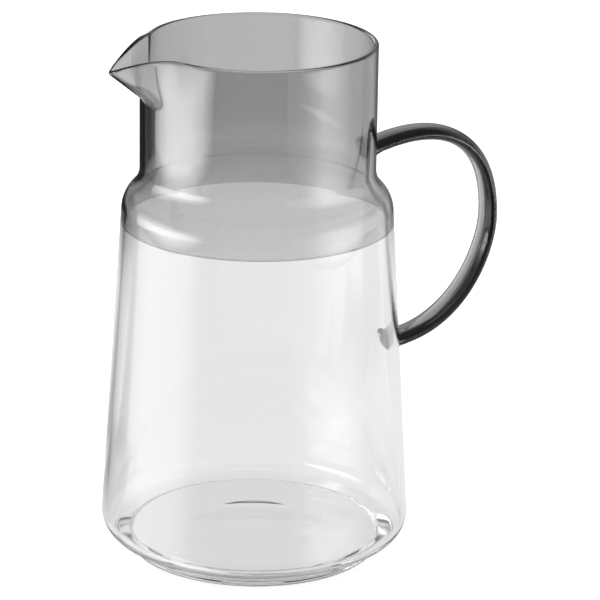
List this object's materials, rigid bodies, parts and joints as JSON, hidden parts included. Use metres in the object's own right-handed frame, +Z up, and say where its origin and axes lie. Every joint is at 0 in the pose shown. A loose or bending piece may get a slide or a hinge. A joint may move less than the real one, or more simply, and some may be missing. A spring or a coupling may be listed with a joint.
{
  "type": "glass water jug",
  "caption": "Tall glass water jug: clear conical body, smoke-grey neck with a drawn pouring beak, and a grey glass strap handle welded to neck and body.",
  "frame": {"origin": "centre of the base, on the plane of the table that the foot ring stands on", "axes": "+Z up along the jug's axis, +X towards the handle, so the pouring beak points to -X"},
  "size_m": [0.1786, 0.1356, 0.23],
  "materials": {
    "clear_glass": "clear polished glass",
    "grey_glass": "smoke-grey polished glass",
    "handle_glass": "dark smoke-grey polished glass"
  },
  "bodies": {
    "root": {"clear_body": "clear_glass", "grey_neck": "grey_glass", "handle": "handle_glass", "upper_handle_weld": "handle_glass", "lower_handle_weld": "handle_glass"}
  },
  "joints": []
}
